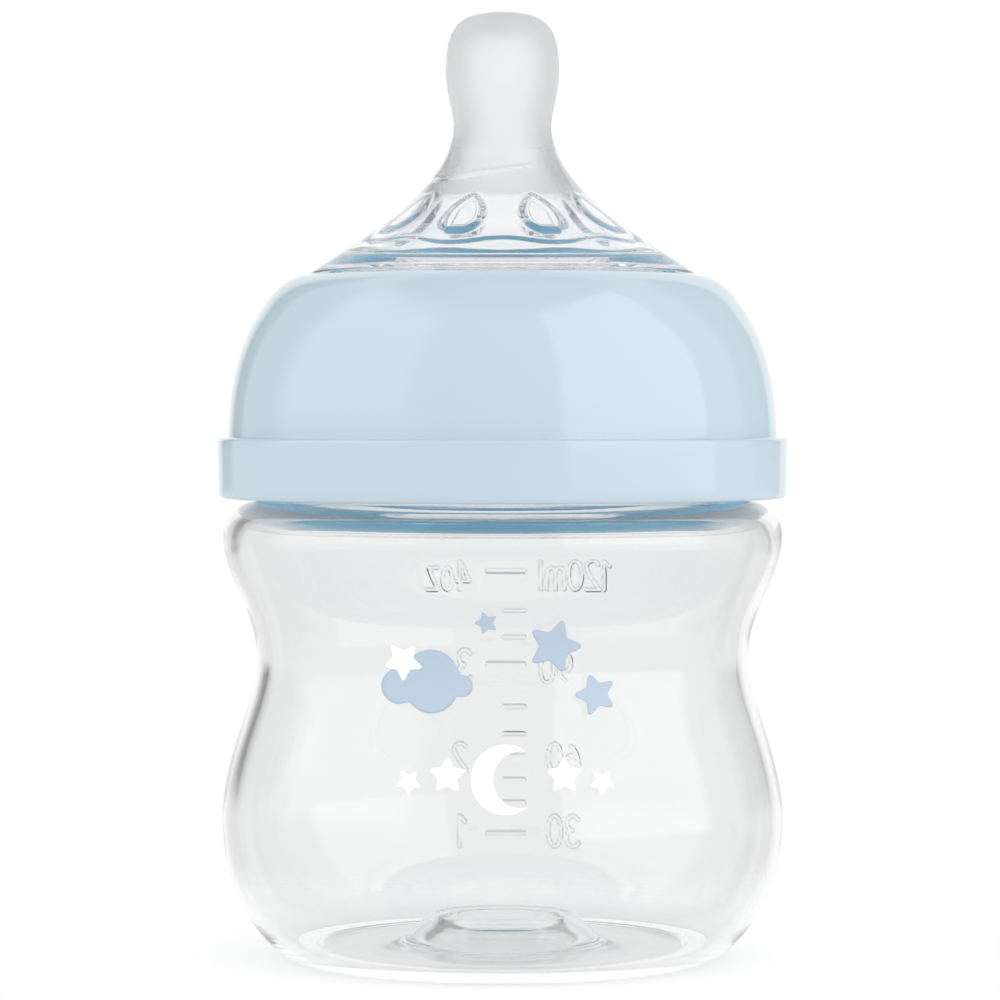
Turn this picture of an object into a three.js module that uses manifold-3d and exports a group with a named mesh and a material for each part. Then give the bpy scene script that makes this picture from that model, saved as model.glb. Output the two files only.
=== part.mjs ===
// A 120 ml wide-neck feeding bottle: a clear bottle, a screw collar and a silicone teat.
// Millimetres, +Z up, origin at the centre of the foot ring that the bottle stands on.
import * as THREE from "three";
import { mergeVertices } from "three/addons/utils/BufferGeometryUtils.js";
import Module from "manifold-3d";

const wasm = await Module();
wasm.setup();

// ---------------------------------------------------------------- driving dimensions

const SIDES = 36; // facets round each turned piece
const ARC_STEPS = 4; // points along each curved stretch of an outline
const TURN = 2 * Math.PI;

const BOTTLE = {
  footInner: 22.4,
  footOuter: 25.4,
  baseRecess: 0.2, // depth of the base inside the foot ring
  floor: 1.2, // height of the inside floor
  wall: 1.5,
  bulge: { radius: 33.6, height: 16.5 },
  waist: { radius: 29.4, height: 35.5 },
  shoulder: { radius: 33.55, height: 50.7, arcRadius: 4.6, arcHeight: 4 },
  neck: { outer: 26.4, inner: 24.6, foot: 56.5, taper: 73.3 },
  rim: { outer: 26, height: 76.8, round: 0.45 },
};

const PUNT = {
  top: 4.9,
  topRadius: 7.6,
  footRadius: 13.6,
  under: 3.2,
  underRadius: 5.8,
  underFoot: 11.4,
};

const COLLAR = {
  bottom: 54.95,
  band: { radius: 34.1, top: 62.1, taper: 0.12, round: 0.5 },
  dome: { radius: 32.85, knee: { radius: 29.3, height: 76.7 } },
  top: 81.5,
  topFlat: 23.4, // radius where the dome runs out into the flat top
  lipUnder: 79.8,
  opening: 20.6,
  bore: 29.8,
  pressRib: { inner: 23.4, outer: 25, bottom: 78.9 },
};

const TEAT = {
  rim: { radius: 23, height: 81.8 },
  groove: 20.3,
  flange: { radius: 25.7, bottom: 77.1, top: 78.6 },
  bore: { foot: 17.3, radius: 18.3, top: 82.3 }, // the nearly straight foot of the inside
  insideBend: { radius: 10.6, height: 87.8 }, // halfway up the inside of the skirt
  neck: { radius: 5.82, height: 99.15 },
  bulb: { radius: 6.78, height: 105.85 },
  tip: 112.95,
  wall: 1.6,
  feedHole: 0.4,
};

// Both threads are right-handed and lie on one helix, the collar's just below the bottle's.
const THREAD = {
  lead: 6,
  turns: 1.4,
  startHeight: 61.3, // centre of the bottle's ridge where it starts
  collarDrop: 1.6, // how far the collar's ridge lies below the bottle's
  runOut: 0.12, // turns over which a ridge grows from nothing at each end
  sink: 0.5, // depth of a ridge's root in its wall
  bottle: { crest: 28, rootWidth: 2, crestWidth: 1 },
  collar: { crest: 27, rootWidth: 2.4, crestWidth: 1 },
};

// Raised lines on the back of the bottle: the height of each and how long it is.
const LONG_MARK = 4.9;
const SHORT_MARK = 2.7;
const MARK = { width: 0.45, proud: 0.22, sink: 0.4, right: 2.9 };
const MARKS = [
  { height: 10.8, length: LONG_MARK },
  { height: 14.7, length: SHORT_MARK },
  { height: 17.7, length: SHORT_MARK },
  { height: 21.4, length: LONG_MARK },
  { height: 23.9, length: SHORT_MARK },
  { height: 27.6, length: SHORT_MARK },
  { height: 33.4, length: LONG_MARK },
  { height: 36.7, length: SHORT_MARK },
  { height: 40.2, length: SHORT_MARK },
  { height: 45.4, length: LONG_MARK },
];

// ---------------------------------------------------------------- solids

// A closed geometry as a manifold solid.
function solidOf(geometry) {
  const bare = geometry.clone();
  bare.deleteAttribute("normal");
  bare.deleteAttribute("uv");
  const merged = mergeVertices(bare, 1e-4);
  return new wasm.Manifold(
    new wasm.Mesh({
      numProp: 3,
      vertProperties: merged.attributes.position.array,
      triVerts: new Uint32Array(merged.index.array),
    }),
  );
}

// A manifold solid as a geometry.
function geometryOf(solid) {
  const mesh = solid.getMesh();
  const geometry = new THREE.BufferGeometry();
  geometry.setAttribute("position", new THREE.BufferAttribute(mesh.vertProperties, 3));
  geometry.setIndex(new THREE.BufferAttribute(mesh.triVerts, 1));
  geometry.computeVertexNormals();
  return geometry;
}

// Turns an outline of (radius, height) points about +Z.
function revolve(outline) {
  return new THREE.LatheGeometry(outline, SIDES).rotateX(Math.PI / 2);
}

// A trapezoid ridge that climbs a helix on a cylinder. It grows out of the wall at both ends.
function helicalRidge({ wallRadius, crest, rootWidth, crestWidth, startHeight }) {
  const steps = Math.round(THREAD.turns * 36);
  const sink = Math.sign(wallRadius - crest) * THREAD.sink;
  const positions = [];
  for (let i = 0; i <= steps; i++) {
    const turn = (i / steps) * THREAD.turns;
    const grown = Math.min(1, turn / THREAD.runOut, (THREAD.turns - turn) / THREAD.runOut);
    const peak = wallRadius + (crest - wallRadius) * Math.max(grown, 0.02);
    const height = startHeight + THREAD.lead * turn;
    const section = [
      [wallRadius + sink, -rootWidth / 2],
      [peak, -crestWidth / 2],
      [peak, crestWidth / 2],
      [wallRadius + sink, rootWidth / 2],
    ];
    for (const [radius, offset] of section) {
      positions.push(
        radius * Math.cos(turn * TURN),
        radius * Math.sin(turn * TURN),
        height + offset,
      );
    }
  }
  const index = [0, 1, 2, 0, 2, 3];
  for (let i = 0; i < steps; i++) {
    for (let k = 0; k < 4; k++) {
      const a = 4 * i + k;
      const b = 4 * i + ((k + 1) % 4);
      index.push(a, a + 4, b + 4, a, b + 4, b);
    }
  }
  const last = 4 * steps;
  index.push(last, last + 2, last + 1, last, last + 3, last + 2);
  if (crest < wallRadius) index.reverse(); // an inward ridge has its section the other way round
  const geometry = new THREE.BufferGeometry();
  geometry.setAttribute("position", new THREE.Float32BufferAttribute(positions, 3));
  geometry.setIndex(index);
  return geometry;
}

// ---------------------------------------------------------------- bottle

// The waisted wall from the foot to the shoulder, moved inwards by inset.
function waistedWall(path, inset, upwards) {
  const { bulge, waist, shoulder } = BOTTLE;
  const stretches = [
    [
      [bulge.radius, bulge.height],
      [bulge.radius, bulge.height + 7.5],
      [waist.radius, waist.height - 4.7],
      [waist.radius, waist.height],
    ],
    [
      [waist.radius, waist.height],
      [waist.radius, waist.height + 6.3],
      [shoulder.radius, shoulder.height - 5.1],
      [shoulder.radius, shoulder.height],
    ],
  ];
  if (!upwards) stretches.reverse().forEach((stretch) => stretch.reverse());
  for (const [, first, second, end] of stretches) {
    const controls = [first, second, end].flatMap(([radius, height]) => [radius - inset, height]);
    path.bezierCurveTo(...controls);
  }
}

function bottleOutline() {
  const { bulge, shoulder, neck, rim, wall } = BOTTLE;
  const arcCentre = shoulder.radius - shoulder.arcRadius;
  const path = new THREE.Path();
  path.moveTo(0, PUNT.under);
  path.lineTo(PUNT.underRadius, PUNT.under);
  path.bezierCurveTo(8.4, PUNT.under, 9, BOTTLE.baseRecess, PUNT.underFoot, BOTTLE.baseRecess);
  path.lineTo(BOTTLE.footInner - BOTTLE.baseRecess, BOTTLE.baseRecess);
  path.lineTo(BOTTLE.footInner, 0);
  path.lineTo(BOTTLE.footOuter, 0);
  path.bezierCurveTo(27.9, 0.5, bulge.radius, 7, bulge.radius, bulge.height);
  waistedWall(path, 0, true);
  path.absellipse(
    arcCentre,
    shoulder.height,
    shoulder.arcRadius,
    shoulder.arcHeight,
    0,
    Math.PI / 2,
    false,
  );
  path.quadraticCurveTo(neck.outer, shoulder.height + shoulder.arcHeight, neck.outer, neck.foot);
  path.lineTo(neck.outer, neck.taper);
  path.lineTo(rim.outer, neck.taper + 2);
  path.lineTo(rim.outer, rim.height - rim.round);
  path.lineTo(rim.outer - rim.round, rim.height);
  path.lineTo(neck.inner + rim.round, rim.height);
  path.lineTo(neck.inner, rim.height - rim.round);
  path.lineTo(neck.inner, neck.foot);
  path.quadraticCurveTo(
    neck.inner,
    shoulder.height + shoulder.arcHeight - wall,
    arcCentre,
    shoulder.height + shoulder.arcHeight - wall,
  );
  path.absellipse(
    arcCentre,
    shoulder.height,
    shoulder.arcRadius - wall,
    shoulder.arcHeight - wall,
    Math.PI / 2,
    0,
    true,
  );
  waistedWall(path, wall, false);
  path.bezierCurveTo(bulge.radius - wall, 8.4, 27.3, BOTTLE.floor, 23.8, BOTTLE.floor);
  path.lineTo(PUNT.footRadius, BOTTLE.floor);
  path.bezierCurveTo(11, BOTTLE.floor, 10.2, PUNT.top, PUNT.topRadius, PUNT.top);
  path.lineTo(0, PUNT.top);
  return path.getPoints(ARC_STEPS);
}

// The outer radius of the bottle at a height between the foot and the shoulder.
function bottleRadiusAt(height) {
  const outline = bottleOutline();
  const start = outline.findIndex((point) => point.x === BOTTLE.footOuter && point.y === 0);
  const above = outline.findIndex((point, i) => i > start && point.y >= height);
  const [low, high] = [outline[above - 1], outline[above]];
  return THREE.MathUtils.mapLinear(height, low.y, high.y, low.x, high.x);
}

// A raised line on the back of the bottle, with its ends square.
function volumeMark({ height, length }) {
  const depth = MARK.proud + MARK.sink;
  const facetMiddle = bottleRadiusAt(height) * Math.cos(Math.PI / SIDES);
  const box = new THREE.BoxGeometry(length, depth, MARK.width);
  return box.translate(
    MARK.right - length / 2,
    facetMiddle + MARK.proud - depth / 2,
    height,
  );
}

function makeBottle() {
  let solid = solidOf(revolve(bottleOutline()));
  const ridge = helicalRidge({
    wallRadius: BOTTLE.neck.outer,
    startHeight: THREAD.startHeight,
    ...THREAD.bottle,
  });
  solid = solid.add(solidOf(ridge));
  for (const mark of MARKS) solid = solid.add(solidOf(volumeMark(mark)));
  return geometryOf(solid);
}

// ---------------------------------------------------------------- collar

function collarOutline() {
  const { band, dome, bore, bottom, lipUnder, opening, pressRib, top, topFlat } = COLLAR;
  const { knee } = dome;
  const path = new THREE.Path();
  path.moveTo(bore, bottom);
  path.lineTo(band.radius - band.taper - band.round, bottom);
  path.lineTo(band.radius - band.taper, bottom + band.round);
  path.lineTo(band.radius, band.top - band.round);
  path.lineTo(band.radius - band.round / 2, band.top);
  path.lineTo(dome.radius, band.top);
  path.bezierCurveTo(32.75, 67.8, 31.6, 73, knee.radius, knee.height);
  path.bezierCurveTo(27.9, 79, 26.3, top - 0.15, topFlat, top);
  path.lineTo(opening, top);
  path.lineTo(opening, lipUnder);
  path.lineTo(pressRib.inner, lipUnder);
  path.lineTo(pressRib.inner, pressRib.bottom);
  path.lineTo(pressRib.outer, pressRib.bottom);
  path.lineTo(26.2, 78.6);
  path.lineTo(27.6, 76.4);
  path.bezierCurveTo(29, 74.1, bore, 71.3, bore, 67.8);
  path.lineTo(bore, bottom);
  return path.getPoints(ARC_STEPS);
}

function makeCollar() {
  const ring = solidOf(revolve(collarOutline()));
  const ridge = helicalRidge({
    wallRadius: COLLAR.bore,
    startHeight: THREAD.startHeight - THREAD.collarDrop,
    ...THREAD.collar,
  });
  return geometryOf(ring.add(solidOf(ridge)));
}

// ---------------------------------------------------------------- teat

function teatOutline() {
  const { rim, groove, flange, bore, insideBend, neck, bulb, tip, wall, feedHole } = TEAT;
  const path = new THREE.Path();
  path.moveTo(bore.foot, flange.bottom);
  path.lineTo(flange.radius, flange.bottom);
  path.lineTo(flange.radius, flange.top - 0.4);
  path.lineTo(flange.radius - 0.6, flange.top);
  path.lineTo(groove, flange.top);
  path.lineTo(groove, rim.height);
  path.lineTo(rim.radius, rim.height);
  path.bezierCurveTo(19.6, 84.1, 14.3, 87.35, 12, 89.35);
  path.bezierCurveTo(9.7, 91.35, 6, 95.35, neck.radius, neck.height);
  path.bezierCurveTo(
    neck.radius,
    neck.height + 2,
    bulb.radius,
    bulb.height - 2.7,
    bulb.radius,
    bulb.height,
  );
  path.bezierCurveTo(bulb.radius, tip - 2.04, 5.6, tip, feedHole, tip);
  path.lineTo(feedHole, tip - wall);
  path.bezierCurveTo(4.1, tip - wall, bulb.radius - wall, 109.75, bulb.radius - wall, bulb.height);
  path.bezierCurveTo(
    bulb.radius - wall,
    bulb.height - 2.7,
    neck.radius - wall,
    neck.height + 2,
    neck.radius - wall,
    neck.height,
  );
  path.bezierCurveTo(neck.radius - wall, 94.6, 8.5, 89.6, insideBend.radius, insideBend.height);
  path.bezierCurveTo(12.95, 85.75, 15.7, 84, bore.radius, bore.top);
  path.lineTo(bore.foot, flange.bottom);
  return path.getPoints(ARC_STEPS);
}

function makeTeat() {
  return revolve(teatOutline());
}

// ---------------------------------------------------------------- assembly

function piece(name, geometry, material) {
  const mesh = new THREE.Mesh(geometry, new THREE.MeshStandardMaterial(material));
  mesh.name = name;
  return mesh;
}

const clearPlastic = {
  color: 0xf4f7f8,
  roughness: 0.04,
  metalness: 0,
  transparent: true,
  opacity: 0.3,
};
const bluePlastic = { color: 0xbcdcea, roughness: 0.12, metalness: 0 };
const silicone = {
  color: 0xeceeef,
  roughness: 0.4,
  metalness: 0,
  transparent: true,
  opacity: 0.6,
};

const feedingBottle = new THREE.Group();
feedingBottle.add(piece("bottle_body", makeBottle(), clearPlastic));
feedingBottle.add(piece("screw_collar", makeCollar(), bluePlastic));
feedingBottle.add(piece("silicone_teat", makeTeat(), silicone));

export default feedingBottle;
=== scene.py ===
"""A clear 120 ml baby bottle with a pale blue screw collar and a silicone teat.

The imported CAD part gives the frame. Here the same outlines are turned finely enough for
clear material to refract well, with the moulded scale, the threads, the teat's petals and
the printed decoration. Lengths are in millimetres until a mesh is made, then in metres.
"""

import math

import bpy
import numpy as np
from mathutils import Euler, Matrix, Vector


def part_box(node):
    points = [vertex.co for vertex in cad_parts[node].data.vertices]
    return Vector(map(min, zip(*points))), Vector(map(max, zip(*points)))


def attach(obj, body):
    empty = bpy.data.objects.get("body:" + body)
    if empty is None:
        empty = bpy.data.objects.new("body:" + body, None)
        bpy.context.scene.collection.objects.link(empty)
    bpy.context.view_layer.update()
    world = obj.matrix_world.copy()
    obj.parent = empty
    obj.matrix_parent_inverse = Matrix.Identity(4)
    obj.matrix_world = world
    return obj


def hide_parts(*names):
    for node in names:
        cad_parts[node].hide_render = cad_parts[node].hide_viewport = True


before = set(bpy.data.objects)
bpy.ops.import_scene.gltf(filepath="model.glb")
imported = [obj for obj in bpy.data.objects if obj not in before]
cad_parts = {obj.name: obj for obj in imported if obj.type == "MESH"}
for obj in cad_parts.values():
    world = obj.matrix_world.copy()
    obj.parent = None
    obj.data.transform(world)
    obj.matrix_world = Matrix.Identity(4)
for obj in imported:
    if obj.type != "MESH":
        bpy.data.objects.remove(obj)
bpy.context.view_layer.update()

MM = 0.001
TURN = 2 * math.pi

# ---------------------------------------------------------------- driving dimensions, mm

BODY_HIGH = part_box("bottle_body")[1] / MM
COLLAR_LOW, COLLAR_HIGH = (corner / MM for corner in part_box("screw_collar"))
TEAT_LOW, TEAT_HIGH = (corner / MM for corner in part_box("silicone_teat"))

RIM_TOP = BODY_HIGH.z
COLLAR_BOTTOM = COLLAR_LOW.z
COLLAR_TOP = COLLAR_HIGH.z
BAND_RADIUS = COLLAR_HIGH.x
FLANGE_BOTTOM = TEAT_LOW.z
FLANGE_RADIUS = TEAT_HIGH.x
TEAT_TIP = TEAT_HIGH.z

WALL = 1.5
FOOT_INNER = 22.4
FOOT_OUTER = 25.4
BASE_RECESS = 0.2
FLOOR = 1.2
BULGE = (33.6, 16.5)  # radius, height
WAIST = (29.4, 35.5)
SHOULDER = (33.55, 50.7)
SHOULDER_ARC = (4.6, 4.0)
SHOULDER_CENTRE = (SHOULDER[0] - SHOULDER_ARC[0], SHOULDER[1])
NECK_OUTER = 26.4
NECK_INNER = 24.6
NECK_FOOT = 56.5
RIM_OUTER = 26.0
RIM_ROUND = 0.45
PUNT_TOP = 4.9
PUNT_WALL = 1.7
PUNT_RADII = (7.6, 13.6)  # at its top and at its foot
PUNT_UNDER_RADII = (5.8, 11.4)

THREAD_LEAD = 6.0
THREAD_TURNS = 1.4
THREAD_START = 61.3
THREAD_RUN_OUT = 0.12
BODY_THREAD = (1.6, 2.2, 1.0)  # how far it stands out, its width at the root and at the crest
COLLAR_THREAD = (2.8, 2.4, 1.0)
COLLAR_THREAD_DROP = 1.6  # how far the collar's thread starts below the bottle's

# ---------------------------------------------------------------- outlines and meshes


def arc_points(centre, radii, first, last, steps):
    """Points along an elliptical arc between two angles in degrees, with both its ends."""
    points = []
    for i in range(steps + 1):
        angle = math.radians(first + (last - first) * i / steps)
        across, up = radii[0] * math.cos(angle), radii[1] * math.sin(angle)
        points.append((centre[0] + across, centre[1] + up))
    return points


class Outline:
    """Points (radius, height) of a section, drawn with lines and curves."""

    def __init__(self, radius, height):
        self.points = [(radius, height)]

    def line(self, radius, height, steps=1):
        start = self.points[-1]
        for i in range(1, steps + 1):
            t = i / steps
            self.points.append(
                (start[0] + (radius - start[0]) * t, start[1] + (height - start[1]) * t)
            )

    def curve(self, c1, c2, end, steps):
        """A cubic curve that leaves towards c1 and arrives from c2."""
        start = self.points[-1]
        for i in range(1, steps + 1):
            t = i / steps
            weights = ((1 - t) ** 3, 3 * (1 - t) ** 2 * t, 3 * (1 - t) * t * t, t**3)
            corners = (start, c1, c2, end)
            self.points.append(
                tuple(sum(w * p[k] for w, p in zip(weights, corners)) for k in (0, 1))
            )

    def arc(self, centre, radii, first, last, steps):
        """An elliptical arc that goes on from the point where it begins."""
        self.points += arc_points(centre, radii, first, last, steps)[1:]

    def array(self):
        return np.array(self.points)


def outward_normals(points, closed):
    """Unit normals of an outline that climbs on its outside, pointing out of the material."""
    if closed:
        ahead, behind = np.roll(points, -1, axis=0), np.roll(points, 1, axis=0)
    else:
        ahead = np.vstack([points[1:], points[-1:]])
        behind = np.vstack([points[:1], points[:-1]])
    along = ahead - behind
    normals = np.stack([along[:, 1], -along[:, 0]], axis=1)
    return normals / np.maximum(np.linalg.norm(normals, axis=1, keepdims=True), 1e-9)


def turned_mesh(name, points, angles, closed, relief=None):
    """Turns an outline about Z. relief gives how far each (outline point, angle) stands out.

    A closed outline joins its last point to its first. An open one has both ends on the axis.
    """
    normals = outward_normals(points, closed)
    rise = np.zeros((len(points), len(angles))) if relief is None else relief
    radius = points[:, :1] + normals[:, :1] * rise
    height = points[:, 1:] + normals[:, 1:] * rise
    grid = np.stack([radius * np.cos(angles), radius * np.sin(angles), height], axis=2)
    rows, columns = grid.shape[:2]
    numbers = np.arange(rows * columns).reshape(rows, columns)
    if closed:
        below, above = numbers, np.roll(numbers, -1, axis=0)
    else:
        numbers = numbers[1:-1] - columns + 2
        grid = grid[1:-1]
        below, above = numbers[:-1], numbers[1:]
    quads = np.stack(
        [below, np.roll(below, -1, axis=1), np.roll(above, -1, axis=1), above], axis=2
    ).reshape(-1, 4)
    vertices = grid.reshape(-1, 3)
    faces = quads.tolist()
    if not closed:
        poles = [(0, 0, points[0, 1]), (0, 0, points[-1, 1])]
        vertices = np.vstack([poles, vertices])
        first, last = numbers[0], numbers[-1]
        faces += [[0, b, a] for a, b in zip(first, np.roll(first, -1))]
        faces += [[1, a, b] for a, b in zip(last, np.roll(last, -1))]
    return mesh_object(name, vertices * MM, faces)


def mesh_object(name, vertices, faces):
    mesh = bpy.data.meshes.new(name)
    mesh.from_pydata(vertices.tolist(), [], faces)
    mesh.polygons.foreach_set("use_smooth", [True] * len(mesh.polygons))
    mesh.update()
    piece = bpy.data.objects.new(name, mesh)
    bpy.context.scene.collection.objects.link(piece)
    return piece


def give_attribute(piece, name, values):
    """Stores a value at each point of a mesh, for its material to read."""
    attribute = piece.data.attributes.new(name, "FLOAT", "POINT")
    attribute.data.foreach_set("value", values.ravel())


def even_angles(count):
    return np.arange(count) * TURN / count


def smooth_step(value):
    t = np.clip(value, 0, 1)
    return t * t * (3 - 2 * t)


def steepness(share):
    """1 half way up a soft step, and 0 at its foot and its top."""
    return 4 * share * (1 - share)


def helical_relief(points, angles, start, thread):
    """How far a right-handed thread stands out at each (outline point, angle)."""
    height_of_crest, root_width, crest_width = thread
    relief = np.zeros((len(points), len(angles)))
    slope = (root_width - crest_width) / 2
    for whole_turns in (0, 1):
        turn = angles / TURN + whole_turns
        grown = np.minimum(turn, THREAD_TURNS - turn) / THREAD_RUN_OUT
        offset = np.abs(points[:, 1:] - (start + THREAD_LEAD * turn))
        flank = (root_width / 2 - offset) / slope
        relief = np.maximum(relief, smooth_step(flank) * np.clip(grown, 0, 1))
    return relief * height_of_crest


# ---------------------------------------------------------------- moulded scale

# Strokes of each sign in a box one unit high. Arcs are (centre, radii, first, last degree).
SIGN_ARCS = {
    "0": [((0.23, 0.5), (0.23, 0.5), 0, 360)],
    "2": [((0.23, 0.76), (0.22, 0.24), 160, -38)],
    "3": [((0.2, 0.76), (0.21, 0.24), 150, -90), ((0.2, 0.26), (0.23, 0.26), 90, -150)],
    "6": [((0.23, 0.29), (0.23, 0.29), 0, 360), ((0.52, 0.29), (0.52, 0.71), 180, 118)],
    "9": [((0.23, 0.71), (0.23, 0.29), 0, 360), ((-0.06, 0.71), (0.52, 0.71), 0, -62)],
    "o": [((0.17, 0.36), (0.17, 0.36), 0, 360)],
    "m": [((0.16, 0.52), (0.15, 0.2), 180, 0), ((0.46, 0.52), (0.15, 0.2), 180, 0)],
}
SIGN_LINES = {
    "1": [[(0.0, 0.78), (0.2, 1.0), (0.2, 0.0)]],
    "2": [[(0.4, 0.61), (0.0, 0.0), (0.46, 0.0)]],
    "4": [[(0.34, 0.0), (0.34, 1.0), (0.0, 0.3), (0.46, 0.3)]],
    "m": [[(0.01, 0.72), (0.01, 0.0)], [(0.31, 0.52), (0.31, 0.0)], [(0.61, 0.52), (0.61, 0.0)]],
    "l": [[(0.05, 0.0), (0.05, 1.0)]],
    "z": [[(0.0, 0.72), (0.34, 0.72), (0.0, 0.0), (0.36, 0.0)]],
}
SIGN_WIDTH = {"1": 0.22, "m": 0.62, "l": 0.1, "4": 0.46, "o": 0.34, "z": 0.36}
USUAL_WIDTH = 0.46
SIGN_GAP = 0.15

SIGN_HEIGHT = 3.75
STROKE = 0.24  # half the width of a raised stroke
STROKE_EDGE = 0.22
SCALE_RISE = 0.24

# Each label: its words, the x where it begins and the height of its foot.
SCALE_LABELS = [
    ("120ml", 14.1, 43.1),
    ("90", 9.0, 31.0),
    ("60", 10.05, 18.9),
    ("30", 10.05, 9.3),
    ("4oz", -4.3, 43.1),
    ("3", -4.2, 31.4),
    ("2", -4.7, 18.9),
    ("1", -4.9, 9.3),
]
# Each mark: its height and its ends in x.
LONG_MARK = (-2.0, 2.9)
SHORT_MARK = (0.2, 2.9)
SCALE_MARKS = [
    (10.8, LONG_MARK),
    (14.7, SHORT_MARK),
    (17.7, SHORT_MARK),
    (21.4, LONG_MARK),
    (23.9, SHORT_MARK),
    (27.6, SHORT_MARK),
    (33.4, LONG_MARK),
    (36.7, SHORT_MARK),
    (40.2, SHORT_MARK),
    (45.4, LONG_MARK),
]
# The finely divided patch of the back that holds the scale.
PATCH_X = (-10.6, 14.9)
PATCH_Z = (8.6, 47.4)
PATCH_STEP = 0.2
PATCH_RADIUS = 31.5
COARSE_STEPS = 102  # round the rest of the bottle


def sign_strokes(sign):
    """The strokes of one sign, each a line of points in its box one unit high."""
    strokes = list(SIGN_LINES.get(sign, []))
    for centre, radii, first, last in SIGN_ARCS.get(sign, []):
        steps = max(4, round(abs(last - first) / 20))
        strokes.append(arc_points(centre, radii, first, last, steps))
    return strokes


def scale_segments():
    """Every straight piece of the scale's strokes, as (x, z) ends. Words run towards -X."""
    segments = []
    for words, x, z in SCALE_LABELS:
        for sign in words:
            for stroke in sign_strokes(sign):
                placed = [(x - u * SIGN_HEIGHT, z + v * SIGN_HEIGHT) for u, v in stroke]
                segments += list(zip(placed[:-1], placed[1:]))
            x -= (SIGN_WIDTH.get(sign, USUAL_WIDTH) + SIGN_GAP) * SIGN_HEIGHT
    for height, (left, right) in SCALE_MARKS:
        segments.append(((left, height), (right, height)))
    return segments


def scale_relief(x, z):
    """How far the scale stands out at each place (x, z) of the back."""
    nearest = np.full(x.shape, np.inf)
    for (x0, z0), (x1, z1) in scale_segments():
        length_squared = max((x1 - x0) ** 2 + (z1 - z0) ** 2, 1e-9)
        t = np.clip(((x - x0) * (x1 - x0) + (z - z0) * (z1 - z0)) / length_squared, 0, 1)
        away = np.hypot(x - x0 - t * (x1 - x0), z - z0 - t * (z1 - z0))
        nearest = np.minimum(nearest, away)
    return SCALE_RISE * smooth_step((STROKE + STROKE_EDGE / 2 - nearest) / STROKE_EDGE)


# ---------------------------------------------------------------- bottle body


def eased(points, first, last, spacing, reach):
    """The points between two places of an outline, evenly spaced and with softened joins."""
    stretch = np.array(points[first : last + 1])
    lengths = np.hypot(*np.diff(stretch, axis=0).T)
    along = np.concatenate([[0], np.cumsum(lengths)])
    even = np.linspace(0, along[-1], 1 + round(along[-1] / spacing))
    eased_stretch = np.stack([np.interp(even, along, stretch[:, k]) for k in (0, 1)], axis=1)
    for _ in range(round((reach / spacing) ** 2)):
        middle = (eased_stretch[:-2] + 2 * eased_stretch[1:-1] + eased_stretch[2:]) / 4
        eased_stretch[1:-1] = middle
    return [tuple(point) for point in eased_stretch]


def body_outline():
    """The bottle's section, from the middle of its underside round to the middle of its floor,
    and the number of the point where its outer wall begins."""
    outline = Outline(0, PUNT_TOP - PUNT_WALL)
    underside(outline)
    outer_start = len(outline.points) - 1
    outer_wall(outline)
    outer = eased(outline.points, outer_start, len(outline.points) - 1, PATCH_STEP, 0.9)
    outline.points[outer_start:] = [
        point for i, point in enumerate(outer) if i % 3 == 0 or PATCH_Z[0] < point[1] < PATCH_Z[1]
    ]
    neck_and_rim(outline)
    inner_start = len(outline.points) - 1
    inner_wall(outline)
    inner = eased(outline.points, inner_start, len(outline.points) - 1, 0.8, 1.6)
    outline.points[inner_start:] = inner
    outline.line(PUNT_RADII[1], FLOOR, 4)
    outline.curve((11, FLOOR), (10.2, PUNT_TOP), (PUNT_RADII[0], PUNT_TOP), 16)
    outline.line(0, PUNT_TOP, 4)
    return outline.array(), outer_start


def underside(outline):
    """The hollow under the push-up and the foot ring round it."""
    hollow = PUNT_TOP - PUNT_WALL
    outline.line(PUNT_UNDER_RADII[0], hollow, 3)
    outline.curve((8.4, hollow), (9, BASE_RECESS), (PUNT_UNDER_RADII[1], BASE_RECESS), 14)
    outline.line(FOOT_INNER - 0.9, BASE_RECESS, 4)
    outline.curve((FOOT_INNER - 0.4, BASE_RECESS), (FOOT_INNER - 0.2, 0), (FOOT_INNER + 0.3, 0), 5)
    outline.line(FOOT_OUTER, 0, 3)


def outer_wall(outline):
    """The outside from the foot ring over the bulge, waist and shoulder to the neck."""
    outline.curve((27.9, 0.5), (BULGE[0], 7), BULGE, 40)
    waisted_wall(outline, 0, True)
    outline.arc(SHOULDER_CENTRE, SHOULDER_ARC, 0, 90, 16)
    arc_top = SHOULDER[1] + SHOULDER_ARC[1]
    outline.curve((27.4, arc_top), (NECK_OUTER, arc_top + 0.6), (NECK_OUTER, NECK_FOOT), 6)


def neck_and_rim(outline):
    """Up the outside of the neck, over its rounded rim and down its inside."""
    outline.line(NECK_OUTER, RIM_TOP - 3.5, 32)
    outline.line(RIM_OUTER, RIM_TOP - 2, 3)
    outline.line(RIM_OUTER, RIM_TOP - RIM_ROUND, 2)
    outer_end, inner_end = RIM_OUTER - RIM_ROUND, NECK_INNER + RIM_ROUND
    outline.curve((RIM_OUTER, RIM_TOP - 0.2), (RIM_OUTER - 0.2, RIM_TOP), (outer_end, RIM_TOP), 4)
    outline.line(inner_end, RIM_TOP, 1)
    inner_foot = (NECK_INNER, RIM_TOP - RIM_ROUND)
    outline.curve((NECK_INNER + 0.2, RIM_TOP), (NECK_INNER, RIM_TOP - 0.2), inner_foot, 4)
    outline.line(NECK_INNER, NECK_FOOT, 12)


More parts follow.
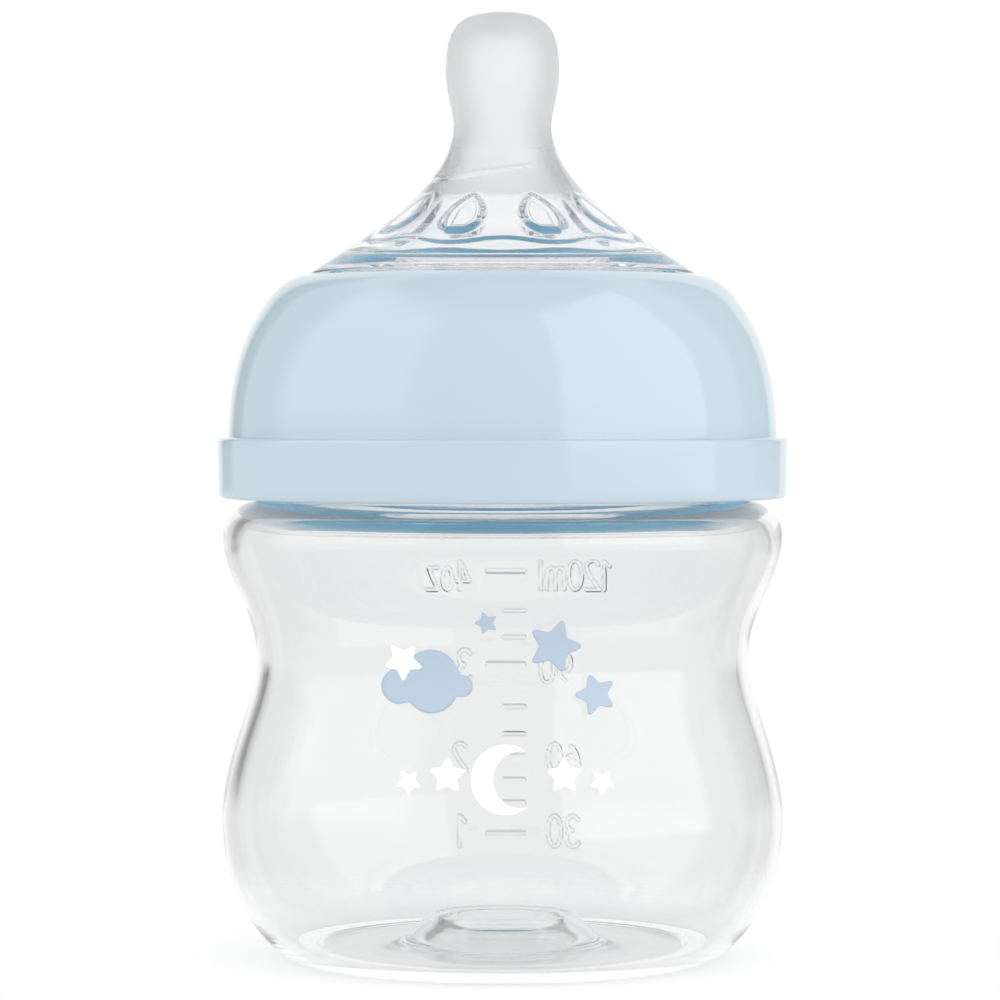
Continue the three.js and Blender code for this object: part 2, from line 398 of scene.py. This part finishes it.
def inner_wall(outline):
    """The inside from the neck's foot down to the flat of the floor."""
    top = SHOULDER[1] + SHOULDER_ARC[1] - WALL
    outline.curve((NECK_INNER, top + 1.2), (26.2, top), (SHOULDER_CENTRE[0], top), 8)
    outline.arc(SHOULDER_CENTRE, [radius - WALL for radius in SHOULDER_ARC], 90, 0, 12)
    waisted_wall(outline, WALL, False)
    outline.curve((BULGE[0] - WALL, 8.4), (27.3, FLOOR), (23.8, FLOOR), 24)


def waisted_wall(outline, inset, upwards):
    """The wall between the bulge and the shoulder, moved inwards by inset."""
    lower = [BULGE, (BULGE[0], BULGE[1] + 7.5), (WAIST[0], WAIST[1] - 4.7), WAIST]
    upper = [WAIST, (WAIST[0], WAIST[1] + 6.3), (SHOULDER[0], SHOULDER[1] - 5.1), SHOULDER]
    stretches = [[(r - inset, z) for r, z in stretch] for stretch in (lower, upper)]
    steps = 80 if upwards else 26
    if not upwards:
        stretches = [stretch[::-1] for stretch in stretches[::-1]]
    for _, c1, c2, end in stretches:
        outline.curve(c1, c2, end, steps)


def body_angles():
    """Angles about Z, close together over the scale on the back and even elsewhere."""
    first = TURN / 4 - PATCH_X[1] / PATCH_RADIUS
    last = TURN / 4 - PATCH_X[0] / PATCH_RADIUS
    fine = np.arange(first, last, PATCH_STEP / PATCH_RADIUS)
    coarse = np.linspace(last, first + TURN, COARSE_STEPS + 1)[:-1]
    return np.concatenate([fine, coarse])


def scale_on_body(points, outer_start, angles):
    """How far the scale stands out at each (outline point, angle) of the bottle."""
    relief = np.zeros((len(points), len(angles)))
    heights = points[:, 1]
    outside = (np.arange(len(points)) >= outer_start) & (np.gradient(heights) > 0)
    outside &= (heights > PATCH_Z[0]) & (heights < PATCH_Z[1])
    where = np.ix_(outside, np.sin(angles) > 0.8)
    x = points[:, :1] * np.cos(angles)
    z = np.repeat(points[:, 1:], len(angles), axis=1)
    relief[where] = scale_relief(x[where], z[where])
    return relief


def make_body():
    points, outer_start = body_outline()
    angles = body_angles()
    thread = helical_relief(points, angles % TURN, THREAD_START, BODY_THREAD)
    on_neck = (points[:, 0] > NECK_OUTER - 0.5) & (points[:, 1] > NECK_FOOT)
    thread *= on_neck[:, None]
    scale = scale_on_body(points, outer_start, angles)
    body = turned_mesh("clear_bottle", points, angles, False, thread + scale)
    # Painted shade: the steep sides of the raised scale are marked here to be greyed.
    edge = steepness(scale / SCALE_RISE)
    give_attribute(body, "painted_edge_shade", np.concatenate([[0, 0], edge[1:-1].ravel()]))
    body.data.materials.append(clear_plastic())
    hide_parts("bottle_body")
    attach(body, "bottle")


# ---------------------------------------------------------------- screw collar

COLLAR_BORE = 29.8
COLLAR_BORE_TOP = 70.6
COLLAR_OPENING = 20.6
COLLAR_LIP = 1.7
BAND_TOP = 62.1
COLLAR_SIDES = 220


def collar_outline():
    """The collar's section and the number of the point where its inside begins."""
    outline = Outline(COLLAR_BORE, COLLAR_BOTTOM + 0.3)
    collar_band(outline)
    outline.line(33.1, BAND_TOP, 2)
    outline.curve((32.9, BAND_TOP), (32.84, BAND_TOP + 0.06), (32.83, BAND_TOP + 0.3), 4)
    outline.curve((32.75, 67.8), (31.6, 73), (29.3, 76.7), 40)
    outline.curve((27.9, 79), (26.3, COLLAR_TOP - 0.15), (23.4, COLLAR_TOP), 24)
    opening = COLLAR_OPENING
    edge = (opening, COLLAR_TOP - 0.3)
    outline.line(opening + 0.3, COLLAR_TOP, 3)
    outline.curve((opening + 0.1, COLLAR_TOP), (opening, COLLAR_TOP - 0.1), edge, 4)
    inner_start = len(outline.points) - 1
    collar_inside(outline)
    return outline.array()[:-1], inner_start


def collar_band(outline):
    """From the foot of the bore round the outside of the band to its flat step."""
    bore, radius, foot = COLLAR_BORE, BAND_RADIUS, COLLAR_BOTTOM
    outline.curve((bore, foot + 0.1), (bore + 0.1, foot), (bore + 0.3, foot), 3)
    outline.line(radius - 0.7, foot, 5)
    side = (radius - 0.12, foot + 0.6)
    outline.curve((radius - 0.35, foot), (radius - 0.15, foot + 0.2), side, 6)
    outline.line(radius, BAND_TOP - 0.4, 8)
    step = (radius - 0.4, BAND_TOP)
    outline.curve((radius, BAND_TOP - 0.15), (radius - 0.15, BAND_TOP), step, 6)


def collar_inside(outline):
    """The lip, the rib that presses on the teat's flange, and the bore."""
    lip_under = COLLAR_TOP - COLLAR_LIP
    outline.line(COLLAR_OPENING, lip_under, 2)
    outline.line(23.4, lip_under, 2)
    outline.line(23.4, 78.9, 1)
    outline.line(25, 78.9, 1)
    outline.line(26.2, 78.6, 1)
    outline.line(27.6, 76.4, 2)
    bore_top = (COLLAR_BORE, COLLAR_BORE_TOP)
    outline.curve((29, 74.1), (COLLAR_BORE, COLLAR_BORE_TOP + 0.7), bore_top, 10)
    outline.line(COLLAR_BORE, COLLAR_BOTTOM + 0.3, 52)


def make_collar():
    points, inner_start = collar_outline()
    angles = even_angles(COLLAR_SIDES)
    start = THREAD_START - COLLAR_THREAD_DROP
    relief = helical_relief(points, angles, start, COLLAR_THREAD)
    on_bore = np.abs(points[:, 0] - COLLAR_BORE) < 0.01
    relief *= (on_bore & (points[:, 1] < COLLAR_BORE_TOP + 0.1))[:, None]
    collar = turned_mesh("blue_collar", points, angles, True, relief)
    collar.data.materials.append(blue_plastic())
    # The collar's inside faces take a darker copy of the plastic with a painted glow.
    collar.data.materials.append(blue_plastic_inside_painted_glow())
    for face in collar.data.polygons:
        face.material_index = int(face.index >= inner_start * len(angles))
    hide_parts("screw_collar")
    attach(collar, "collar")


# ---------------------------------------------------------------- teat

TEAT_NECK = (5.82, 99.15)
TEAT_BULB = (6.78, 105.85)
TEAT_GROOVE = 20.3
FLANGE_TOP = 78.6
SKIRT_RIM = (23.0, 81.8)
HOLE_RADIUS = 0.4
TIP_WALL = 1.6
SKIRT_WALL = 2.1
BORE = 18.3
FOOT_BORE = 17.3  # the bore narrows a little to its foot
PETALS = 8
PETAL_TOP = 90.6
PETAL_FOOT = 85.0
PETAL_WIDEST = 0.3  # the share of its height where a petal is widest
PETAL_HALF_WIDTH = 2.8
PETAL_DEPTH = 0.75
PETAL_BEVEL = 1.3
# Each step inside the skirt's foot: its height, its wave, its width and its rise.
SKIRT_STEPS = [(84.3, 0.3, 0.4, 0.2), (82.9, -0.15, 0.4, 0.2)]
INNER_FROST_EDGE = 90.1
OUTER_FROST_EDGE = 96.5
FROST_SCALLOP = 0.45  # how much higher the inner edge is over each petal
SPIRAL_START = -100  # degrees from the front, towards +X
SPIRAL_SWEEP = 136
SPIRAL_HEIGHTS = (92.6, 95.0)
SPIRAL_DEPTH = 0.12
SPIRAL_HALF_WIDTH = 0.4
SPIRAL_CLEAR_DROP = 1.0  # how far the clear streak inside lies below the step outside
TEAT_SIDES = 336


def teat_outline():
    """The teat's section, its outside first, and how many of its points are outside."""
    outline = Outline(FOOT_BORE, FLANGE_BOTTOM)
    flange_and_groove(outline)
    skirt_start = len(outline.points) - 1
    outline.curve((19.6, 84.1), (14.3, 87.35), (12, 89.35), 36)
    outline.curve((9.7, 91.35), (6, 95.35), TEAT_NECK, 60)
    skirt = np.array(outline.points[skirt_start:])
    neck, bulb, hole = TEAT_NECK, TEAT_BULB, HOLE_RADIUS
    outline.curve((neck[0], neck[1] + 2), (bulb[0], bulb[1] - 2.7), bulb, 14)
    outline.curve((bulb[0], TEAT_TIP - 2.04), (5.6, TEAT_TIP), (hole + 0.3, TEAT_TIP), 28)
    outline.curve((hole + 0.1, TEAT_TIP), (hole, TEAT_TIP - 0.1), (hole, TEAT_TIP - 0.3), 3)
    outer_count = len(outline.points)
    teat_inside(outline, skirt)
    return outline.array()[:-1], outer_count


def flange_and_groove(outline):
    """The flange that seals on the rim, the groove that grips the collar, and the skirt's rim."""
    radius, foot = FLANGE_RADIUS, FLANGE_BOTTOM
    outline.line(radius - 0.3, foot, 3)
    outline.curve((radius, foot), (radius, foot + 0.1), (radius, foot + 0.5), 3)
    outline.line(radius - 0.1, FLANGE_TOP - 0.4, 1)
    outline.line(radius - 0.6, FLANGE_TOP, 2)
    outline.line(TEAT_GROOVE + 0.2, FLANGE_TOP, 3)
    outline.line(TEAT_GROOVE, FLANGE_TOP + 0.2, 1)
    outline.line(TEAT_GROOVE, SKIRT_RIM[1] - 0.2, 4)
    outline.line(TEAT_GROOVE + 0.2, SKIRT_RIM[1], 1)
    outline.line(*SKIRT_RIM, 3)


def teat_inside(outline, skirt):
    """From the feed hole down the inside of the tip, the skirt and the bore."""
    hole_foot = TEAT_TIP - TIP_WALL
    neck = (TEAT_NECK[0] - TIP_WALL, TEAT_NECK[1])
    bulb = (TEAT_BULB[0] - TIP_WALL, TEAT_BULB[1])
    outline.line(HOLE_RADIUS, hole_foot, 1)
    outline.curve((4.1, hole_foot), (bulb[0], 109.75), bulb, 16)
    outline.curve((bulb[0], bulb[1] - 2.7), (neck[0], neck[1] + 2), neck, 10)
    thickness = TIP_WALL + (SKIRT_WALL - TIP_WALL) * smooth_step((97 - skirt[:, 1:]) / 5)
    inside = (skirt - outward_normals(skirt, False) * thickness)[::-1][1:]
    outline.points += [tuple(point) for point in inside if point[0] < BORE - 0.1]
    outline.line(BORE, outline.points[-1][1] - 0.2, 1)
    outline.line(FOOT_BORE, FLANGE_BOTTOM, 6)


def petal_depth(points, angles):
    """Leaf-shaped hollows round the skirt's inside: a pointed arch above, half an ellipse below."""
    depth = np.zeros((len(points), len(angles)))
    height = PETAL_TOP - PETAL_FOOT
    climb = (points[:, 1:] - PETAL_FOOT) / height
    above = np.clip((climb - PETAL_WIDEST) / (1 - PETAL_WIDEST), 0, 1)
    below = np.clip((PETAL_WIDEST - climb) / PETAL_WIDEST, 0, 1)
    arch, bowl = 1 - above**2.2, np.sqrt(1 - below**2)
    half_width = PETAL_HALF_WIDTH * np.where(climb > PETAL_WIDEST, arch, bowl)
    to_ends = np.minimum((1 - climb) * 1.4, climb * 2) * height
    for k in range(PETALS):
        middle = -TURN / 4 + (k + 0.5) * TURN / PETALS
        turned = (angles - middle + math.pi) % TURN - math.pi
        sideways = np.abs(turned[None, :] * points[:, :1])
        to_edge = np.minimum(half_width - sideways, to_ends)
        depth = np.maximum(depth, smooth_step(to_edge / PETAL_BEVEL))
    return depth * PETAL_DEPTH


def between_petals(angles):
    """1 midway between two petals and -1 at the middle of each."""
    return np.cos(PETALS * (angles[None, :] + TURN / 4))


def step_relief(points, angles):
    """The wall thickens in wavy steps towards the skirt's foot."""
    relief = np.zeros((len(points), len(angles)))
    for height, wave, width, rise in SKIRT_STEPS:
        edge = height + wave * between_petals(angles)
        relief += rise * smooth_step((edge - points[:, 1:]) / width + 0.5)
    return relief


def spiral_mask(points, angles, drop):
    """1 along the spiral step across the front of the cone, which tapers at its right end."""
    from_start = (angles + TURN / 4 - math.radians(SPIRAL_START)) % TURN
    share = from_start / math.radians(SPIRAL_SWEEP)
    low, high = SPIRAL_HEIGHTS
    middle = low + (high - low) * share - drop
    reach = SPIRAL_HALF_WIDTH * np.clip((1 - share) / 0.6, 0, 1) * (share > 0)
    return smooth_step((reach - np.abs(points[:, 1:] - middle)) / 0.15 + 0.5) * (share < 1)


def frost_amount(points, angles, outer_count):
    """1 where the teat is matte: all its tip, and inside down to a scalloped edge."""
    outside = (np.arange(len(points)) < outer_count)[:, None]
    scallop = FROST_SCALLOP * np.clip(-between_petals(angles), 0, 1)
    inner = smooth_step((points[:, 1:] - INNER_FROST_EDGE - scallop) / 0.15 + 0.5)
    outer = smooth_step((points[:, 1:] - OUTER_FROST_EDGE) / 3 + 0.5)
    outer = np.repeat(outer, len(angles), axis=1)
    streak = spiral_mask(points, angles, SPIRAL_CLEAR_DROP)
    return np.where(outside, outer, inner * (1 - streak))


def shade_amount(depth, points):
    """1 on the sloping edges of the petals' arches, where shade is painted."""
    on_arch = smooth_step((points[:, 1:] - PETAL_FOOT - 1.2) / 1.5)
    return steepness(depth / PETAL_DEPTH) * on_arch


def make_teat():
    points, outer_count = teat_outline()
    angles = even_angles(TEAT_SIDES)
    on_outside = (np.arange(len(points)) < outer_count)[:, None]
    petals = petal_depth(points, angles)
    inside_relief = step_relief(points, angles) - petals
    inside_relief *= smooth_step((points[:, 1:] - FLANGE_BOTTOM - 0.3) / 3)
    spiral = -SPIRAL_DEPTH * spiral_mask(points, angles, 0)
    relief = np.where(on_outside, spiral, inside_relief)
    teat = turned_mesh("clear_teat", points, angles, True, relief)
    give_attribute(teat, "frost", frost_amount(points, angles, outer_count))
    # Painted shade for the sloping edges of the petals' arches.
    give_attribute(teat, "shade", np.where(on_outside, 0, shade_amount(petals, points)))
    teat.data.materials.append(silicone())
    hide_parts("silicone_teat")
    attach(teat, "teat")


# ---------------------------------------------------------------- printed decoration

INK_LIFT = 0.02
INK_THICKNESS = 0.03
INK_RINGS = 8
WELD_DISTANCE = 0.002 * MM
# Of a star's corners, at its tips and between them, in shares of its radius.
STAR_REACH = (1.25, 0.6)
STAR_ROUNDING = (0.4, 0.12)


def front_profile():
    """Heights and radii of the bottle's outside, from its foot up to its shoulder."""
    points, outer_start = body_outline()
    climbing = [point for point in points[outer_start:] if point[1] <= SHOULDER[1]]
    top = int(np.argmax([height for _, height in climbing]))
    radii, heights = zip(*climbing[: top + 1])
    return heights, radii


FRONT_HEIGHTS, FRONT_RADII = front_profile()


def rounded_star(centre, radius, tip_angle):
    """Points round a five-pointed star with rounded tips, as (x, z)."""
    corners = []
    for k in range(10):
        angle = math.radians(tip_angle + 36 * k)
        reach = radius * STAR_REACH[k % 2]
        corners.append(Vector((reach * math.cos(angle), reach * math.sin(angle))))
    outline = []
    for k, corner in enumerate(corners):
        before = (corners[k - 1] - corner).normalized()
        after = (corners[(k + 1) % 10] - corner).normalized()
        cut = radius * STAR_ROUNDING[k % 2]
        for i in range(9):
            t = i / 8
            bend = before * cut * (1 - t) ** 2 + after * cut * t * t
            outline.append((centre[0] + corner.x + bend.x, centre[1] + corner.y + bend.y))
    return outline


def cloud(centre, lobes):
    """Points round overlapping ellipses, seen from centre.

    A lobe is (x, z, half width, half height).
    """
    outline = []
    for angle in np.linspace(0, TURN, 97)[:-1]:
        dx, dz = math.cos(angle), math.sin(angle)
        reach = 0
        for x, z, a, b in lobes:
            px, pz = (centre[0] - x) / a, (centre[1] - z) / b
            ux, uz = dx / a, dz / b
            half = px * ux + pz * uz
            inside = half * half - (ux * ux + uz * uz) * (px * px + pz * pz - 1)
            if inside >= 0:
                reach = max(reach, (-half + math.sqrt(inside)) / (ux * ux + uz * uz))
        outline.append((centre[0] + reach * dx, centre[1] + reach * dz))
    return outline


def crescent(centre, radius):
    """Points along the outer and the inner edge of a crescent moon that opens to the right."""
    outer = arc_points(centre, (radius, radius), 52, 308, 40)
    bite_centre = (centre[0] + 0.45 * radius, centre[1])
    bite_radius = 0.8 * radius
    inner = arc_points(bite_centre, (bite_radius, bite_radius), 78, 282, 40)
    inner[0], inner[-1] = outer[0], outer[-1]
    return outer, inner


def on_front(x, z, lift):
    """The point of the bottle's front at (x, z), lifted off its surface."""
    radius = float(np.interp(z, FRONT_HEIGHTS, FRONT_RADII)) + lift
    return (x, -math.sqrt(radius * radius - x * x), z)


def film_faces(count, closed):
    """Faces of a film whose two sheets are rings of count points, closed round or open-ended."""
    sheet = (INK_RINGS + 1) * count
    around = count if closed else count - 1
    faces = []
    for ring in range(INK_RINGS):
        for i in range(around):
            a = ring * count + i
            b = ring * count + (i + 1) % count
            faces.append((a, b, b + count, a + count))
            faces.append(tuple(sheet + n for n in (a, a + count, b + count, b)))
    edge = INK_RINGS * count
    for i in range(around):
        a, b = edge + i, edge + (i + 1) % count
        faces.append((a, b, b + sheet, a + sheet))
        if not closed:
            faces.append((i + 1, i, i + sheet, i + 1 + sheet))
    return faces


def printed_patch(name, outer, inner, layer, material):
    """A thin film of ink between two lines of points on the bottle's front."""
    lift = INK_LIFT + layer * 2 * INK_THICKNESS
    vertices = []
    for side_lift in (lift, lift + INK_THICKNESS):
        for ring in range(INK_RINGS + 1):
            t = ring / INK_RINGS
            for (x0, z0), (x1, z1) in zip(inner, outer):
                vertices.append(on_front(x0 + (x1 - x0) * t, z0 + (z1 - z0) * t, side_lift))
    faces = film_faces(len(outer), closed=len(set(inner)) == 1)
    patch = mesh_object(name, np.array(vertices) * MM, faces)
    weld = patch.modifiers.new("weld", "WELD")
    weld.merge_threshold = WELD_DISTANCE
    apply_modifiers(patch)
    patch.data.materials.append(material)
    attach(patch, "bottle")


def apply_modifiers(piece):
    with bpy.context.temp_override(object=piece, active_object=piece):
        for modifier in list(piece.modifiers):
            bpy.ops.object.modifier_apply(modifier=modifier.name)


def solid_patch(name, outline, layer, material):
    """A film of ink that fills an outline."""
    middle = tuple(np.mean(outline, axis=0))
    printed_patch(name, outline, [middle] * len(outline), layer, material)


def make_print():
    blue = ink("blue_ink", (0.444, 0.54, 0.65), 0.2)
    white = ink("white_ink", (0.9, 0.9, 0.9), 0.25)
    cloud_lobes = [(-8.1, 34.8, 3.3, 3.6), (-11.8, 34.15, 2.0, 2.0), (-4.6, 34.3, 1.25, 1.25)]
    solid_patch("blue_cloud", cloud((-8.1, 34.5), cloud_lobes), 0, blue)
    solid_patch("white_star_on_cloud", rounded_star((-11.25, 37.0), 2.05, -90), 1, white)
    blue_stars = [((-1.85, 41.5), 1.22, 180), ((5.85, 38.8), 2.85, 0), ((10.55, 33.25), 2.2, 180)]
    for number, (centre, radius, tip) in enumerate(blue_stars, 1):
        solid_patch(f"blue_star_{number}", rounded_star(centre, radius, tip), 0, blue)
    printed_patch("white_moon", *crescent((0.3, 24.0), 3.9), 0, white)
    white_stars = [((-6.2, 24.4), 1.9, 90), ((-10.6, 23.6), 1.35, 54)]
    white_stars += [((6.9, 24.4), 1.9, 90), ((11.2, 23.6), 1.35, 54)]
    for number, (centre, radius, tip) in enumerate(white_stars, 1):
        solid_patch(f"white_star_{number}", rounded_star(centre, radius, tip), 0, white)


# ---------------------------------------------------------------- materials


def new_material(name):
    material = bpy.data.materials.new(name)
    material.use_nodes = True
    return material, material.node_tree, material.node_tree.nodes["Principled BSDF"]


def noise_between(tree, scale, low, high):
    """A value that wanders between low and high over the surface."""
    coordinates = tree.nodes.new("ShaderNodeTexCoord")
    noise = tree.nodes.new("ShaderNodeTexNoise")
    spread = tree.nodes.new("ShaderNodeMapRange")
    noise.inputs["Scale"].default_value = scale
    noise.inputs["Detail"].default_value = 3
    spread.inputs["To Min"].default_value = low
    spread.inputs["To Max"].default_value = high
    tree.links.new(coordinates.outputs["Object"], noise.inputs["Vector"])
    tree.links.new(noise.outputs["Fac"], spread.inputs["Value"])
    return spread.outputs["Result"]


def attribute_value(tree, name):
    attribute = tree.nodes.new("ShaderNodeAttribute")
    attribute.attribute_name = name
    return attribute.outputs["Fac"]


def mix_colours(tree, shader, factor, first, second):
    """Colours the shader from first to second as factor goes from 0 to 1."""
    mix = tree.nodes.new("ShaderNodeMix")
    mix.data_type = "RGBA"
    mix.inputs["A"].default_value = (*first, 1)
    mix.inputs["B"].default_value = (*second, 1)
    tree.links.new(factor, mix.inputs["Factor"])
    tree.links.new(mix.outputs["Result"], shader.inputs["Base Color"])


def give_glow(shader, colour, strength):
    shader.inputs["Emission Color"].default_value = (*colour, 1)
    shader.inputs["Emission Strength"].default_value = strength


def clear_plastic():
    """Clear, with painted shade greying the steep edges of the raised scale."""
    material, tree, shader = new_material("clear_plastic")
    edge = attribute_value(tree, "painted_edge_shade")
    # Painted shade: grey on the scale's steep edges stands in for their dark outlines.
    mix_colours(tree, shader, edge, (0.928, 0.932, 0.932), (0.42, 0.44, 0.46))
    shader.inputs["Transmission Weight"].default_value = 1
    shader.inputs["IOR"].default_value = 1.5
    tree.links.new(noise_between(tree, 60, 0.0, 0.02), shader.inputs["Roughness"])
    return material


def blue_plastic():
    """Opaque, and a little uneven in colour and gloss."""
    material, tree, shader = new_material("blue_plastic")
    patchiness = noise_between(tree, 90, 0, 1)
    mix_colours(tree, shader, patchiness, (0.565, 0.715, 0.8), (0.58, 0.725, 0.81))
    tree.links.new(noise_between(tree, 200, 0.06, 0.1), shader.inputs["Roughness"])
    shader.inputs["IOR"].default_value = 1.75
    return material


def blue_plastic_inside_painted_glow():
    """The same plastic inside the collar, darker and with a painted glow for daylight through its
    wall.
    """
    material, tree, shader = new_material("blue_plastic_inside_painted_glow")
    patchiness = noise_between(tree, 90, 0, 1)
    mix_colours(tree, shader, patchiness, (0.28, 0.56, 0.7), (0.3, 0.58, 0.72))
    # Painted light: the inside glows although no lamp is there.
    give_glow(shader, (0.12, 0.36, 0.52), 0.5)
    shader.inputs["Roughness"].default_value = 0.15
    return material


def silicone():
    """Clear and glossy on the skirt, frosted on the tip, with painted shade on the petals' edges.
    """
    material, tree, shader = new_material("silicone")
    shade = attribute_value(tree, "shade")
    # Painted shade: grey on the sloping edges of the petals' arches.
    mix_colours(tree, shader, shade, (0.975, 0.98, 0.985), (0.42, 0.43, 0.44))
    shader.inputs["Transmission Weight"].default_value = 1
    shader.inputs["IOR"].default_value = 1.41
    roughness = tree.nodes.new("ShaderNodeMapRange")
    roughness.inputs["To Min"].default_value = 0.0
    roughness.inputs["To Max"].default_value = 0.5
    tree.links.new(attribute_value(tree, "frost"), roughness.inputs["Value"])
    tree.links.new(roughness.outputs["Result"], shader.inputs["Roughness"])
    return material


def ink(name, colour, glow):
    """Printing ink. The glow stands for the daylight that comes through so thin a film."""
    material, tree, shader = new_material(name)
    darker = [0.97 * part for part in colour]
    mix_colours(tree, shader, noise_between(tree, 900, 0, 1), colour, darker)
    give_glow(shader, colour, glow)
    shader.inputs["Roughness"].default_value = 0.45
    return material


# ---------------------------------------------------------------- studio


def window(tree, value, low, high, soft):
    """1 where value lies between low and high, with soft edges."""
    edges = []
    for start, end in ((low - soft, low + soft), (high + soft, high - soft)):
        edge = tree.nodes.new("ShaderNodeMapRange")
        edge.interpolation_type = "SMOOTHSTEP"
        edge.inputs["From Min"].default_value = start
        edge.inputs["From Max"].default_value = end
        tree.links.new(value, edge.inputs["Value"])
        edges.append(edge.outputs["Result"])
    return combine(tree, "MULTIPLY", *edges)


def combine(tree, operation, *values):
    node = tree.nodes.new("ShaderNodeMath")
    node.operation = operation
    for socket, value in zip(node.inputs, values):
        if isinstance(value, (int, float)):
            socket.default_value = value
        else:
            tree.links.new(value, socket)
    return node.outputs["Value"]


# Each panel of light round the object: its bearing from straight behind (+Y, towards +X),
# its elevation, both in degrees, its brightness above the room's and how soft its edges are.
ROOM = 0.81
PANELS = [
    ((-20, 29), (-14, 48), 0.19, 1.0),
    ((-40, -25), (-2, 48), -0.5, 2.5),
    ((-74, -40), (0, 48), -0.15, 6.0),
    ((30, 60), (-2, 48), -0.3, 3.0),
    ((86, 155), (-3, 62), 0.8, 1.5),
    ((-142, -74), (2, 58), 0.6, 10.0),
    ((-180, 180), (62, 90), -0.4, 6.0),
]


def make_world():
    """An even pale room with lighter and darker panels round the object."""
    world = bpy.data.worlds.new("studio")
    bpy.context.scene.world = world
    world.use_nodes = True
    tree = world.node_tree
    coordinates = tree.nodes.new("ShaderNodeTexCoord")
    split = tree.nodes.new("ShaderNodeSeparateXYZ")
    tree.links.new(coordinates.outputs["Generated"], split.inputs["Vector"])
    to_degrees = 180 / math.pi
    bearing = combine(tree, "ARCTAN2", split.outputs["X"], split.outputs["Y"])
    bearing = combine(tree, "MULTIPLY", bearing, to_degrees)
    elevation = combine(tree, "ARCSINE", split.outputs["Z"])
    elevation = combine(tree, "MULTIPLY", elevation, to_degrees)
    total = ROOM
    for bearings, elevations, brightness, soft in PANELS:
        across = window(tree, bearing, *bearings, soft)
        up = window(tree, elevation, *elevations, soft)
        panel = combine(tree, "MULTIPLY", across, up)
        total = combine(tree, "MULTIPLY_ADD", panel, brightness, total)
    background = tree.nodes["Background"]
    tree.links.new(total, background.inputs["Strength"])
    background.inputs["Color"].default_value = (1, 1, 1, 1)


FLOOR_RADIUS = 0.055
FLOOR_FADE = 0.02
FLOOR_GLOW = 0.63


def make_floor():
    """A pale floor that fades into its surroundings."""
    corners = np.array([(-1, -1, 0), (1, -1, 0), (1, 1, 0), (-1, 1, 0)]) * FLOOR_RADIUS * 1.5
    floor = mesh_object("floor", corners, [(0, 1, 2, 3)])
    material, tree, shader = new_material("floor")
    shader.inputs["Base Color"].default_value = (0.55, 0.55, 0.55, 1)
    shader.inputs["Roughness"].default_value = 1
    shader.inputs["Specular IOR Level"].default_value = 0
    give_glow(shader, (1, 1, 1), FLOOR_GLOW)
    coordinates = tree.nodes.new("ShaderNodeTexCoord")
    length = tree.nodes.new("ShaderNodeVectorMath")
    length.operation = "LENGTH"
    tree.links.new(coordinates.outputs["Object"], length.inputs[0])
    solid = window(tree, length.outputs["Value"], -1, FLOOR_RADIUS, FLOOR_FADE)
    tree.links.new(solid, shader.inputs["Alpha"])
    floor.data.materials.append(material)


# In metres. The camera was placed by how far the edges of the collar, its band and the foot
# curve in the photograph.
CAMERA_DISTANCE = 0.48
CAMERA_HEIGHT = 0.06534
CAMERA_ASIDE = -0.0003
CAMERA_PITCH = math.radians(1.2747)
SENSOR = 36
FOCAL_IN_WIDTHS = 4.0


def make_camera():
    data = bpy.data.cameras.new("camera")
    data.sensor_width = SENSOR
    data.lens = FOCAL_IN_WIDTHS * SENSOR
    camera = bpy.data.objects.new("camera", data)
    camera.location = (CAMERA_ASIDE, -CAMERA_DISTANCE, CAMERA_HEIGHT)
    camera.rotation_euler = Euler((math.pi / 2 - CAMERA_PITCH, 0, 0))
    bpy.context.scene.collection.objects.link(camera)
    bpy.context.scene.camera = camera


def set_light_paths():
    """Plain colours, and enough bounces for light to cross every clear wall."""
    scene = bpy.context.scene
    scene.view_settings.view_transform = "Standard"
    scene.cycles.max_bounces = 32
    scene.cycles.transmission_bounces = 32
    scene.cycles.glossy_bounces = 24


# ---------------------------------------------------------------- assembly

make_camera()
make_world()
make_floor()
make_body()
make_collar()
make_teat()
make_print()
set_light_paths()
